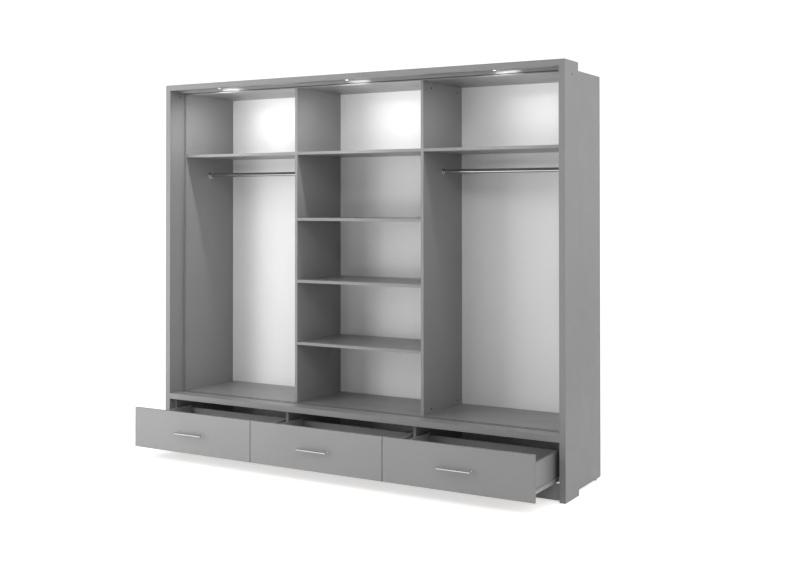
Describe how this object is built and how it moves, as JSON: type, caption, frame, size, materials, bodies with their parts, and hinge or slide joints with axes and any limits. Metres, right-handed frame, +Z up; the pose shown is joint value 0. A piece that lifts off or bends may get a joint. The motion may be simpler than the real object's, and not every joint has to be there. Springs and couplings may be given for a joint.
{
  "type": "sliding door wardrobe",
  "caption": "Wide grey wardrobe for sliding doors, doors not fitted: hanging bays beside a shelved bay, with drawers drawn out below.",
  "frame": {"origin": "on the floor, under the middle of the whole part's bounding box with its drawers at their rest opening of 305 mm; the portal frame's front plane is at Y = -0.130 and the back at Y = +0.470", "axes": "+Z up, +X to the right seen from the front, -Y to the front, where the drawers and doors open"},
  "size_m": [2.5, 0.94, 2.15],
  "materials": {
    "grey_laminate": "mid-grey melamine laminate on chipboard, fine pearl texture, satin",
    "back_board": "hardboard, pale lacquered on the inner face and bare on the rear face, smooth, low gloss",
    "chromed_steel": "polished chromed steel tube and sockets",
    "satin_steel": "satin nickel-plated bar handle",
    "coated_steel": "grey epoxy-coated runner steel with pale nylon rollers",
    "track_aluminium": "matt silver-grey anodised extrusion",
    "spot_rim": "satin rim of a recessed spotlight",
    "spot_lens": "frosted lens, lit",
    "dark_fitting": "dark zinc cam and bolt head with a recess",
    "black_plastic": "moulded plastic glide"
  },
  "bodies": {
    "cabinet": {"upright_left": "grey_laminate", "upright_right": "grey_laminate", "header_board": "grey_laminate", "sill_board": "grey_laminate", "track_upper": "track_aluminium", "track_lower": "track_aluminium", "plinth_board": "grey_laminate", "side_panel_left": "grey_laminate", "side_panel_right": "grey_laminate", "top_panel": "grey_laminate", "deck_panel": "grey_laminate", "partition_left": "grey_laminate", "partition_right": "grey_laminate", "drawer_divider_left": "grey_laminate", "drawer_divider_right": "grey_laminate", "runner_block_left": "grey_laminate", "runner_block_right": "grey_laminate", "back_panel_left": "back_board", "back_panel_middle": "back_board", "back_panel_right": "back_board", "shelf_left_top": "grey_laminate", "shelf_right_top": "grey_laminate", "shelf_middle_1": "grey_laminate", "shelf_middle_2": "grey_laminate", "shelf_middle_3": "grey_laminate", "shelf_middle_4": "grey_laminate", "hanging_rail_left": "chromed_steel", "hanging_rail_right": "chromed_steel", "rail_sockets": "chromed_steel", "led_housings": "spot_rim", "led_lenses": "spot_lens", "cam_fittings": "dark_fitting", "portal_bolts": "dark_fitting", "shelf_pins": "chromed_steel", "glide_feet": "black_plastic", "bay_runners_left": "coated_steel", "bay_runners_middle": "coated_steel", "bay_runners_right": "coated_steel"},
    "drawer_left": {"drawer_left_front": "grey_laminate", "drawer_left_side_l": "grey_laminate", "drawer_left_side_r": "grey_laminate", "drawer_left_back": "grey_laminate", "drawer_left_bottom": "back_board", "drawer_left_handle": "satin_steel", "drawer_left_runners": "coated_steel"},
    "drawer_middle": {"drawer_middle_front": "grey_laminate", "drawer_middle_side_l": "grey_laminate", "drawer_middle_side_r": "grey_laminate", "drawer_middle_back": "grey_laminate", "drawer_middle_bottom": "back_board", "drawer_middle_handle": "satin_steel", "drawer_middle_runners": "coated_steel"},
    "drawer_right": {"drawer_right_front": "grey_laminate", "drawer_right_side_l": "grey_laminate", "drawer_right_side_r": "grey_laminate", "drawer_right_back": "grey_laminate", "drawer_right_bottom": "back_board", "drawer_right_handle": "satin_steel", "drawer_right_runners": "coated_steel"}
  },
  "joints": [
    {"name": "drawer_left_slide", "type": "slide", "parent": "cabinet", "child": "drawer_left", "axis": [0, -1, 0], "range_m": [-0.305, 0.03]},
    {"name": "drawer_middle_slide", "type": "slide", "parent": "cabinet", "child": "drawer_middle", "axis": [0, -1, 0], "range_m": [-0.305, 0.03]},
    {"name": "drawer_right_slide", "type": "slide", "parent": "cabinet", "child": "drawer_right", "axis": [0, -1, 0], "range_m": [-0.305, 0.03]}
  ]
}
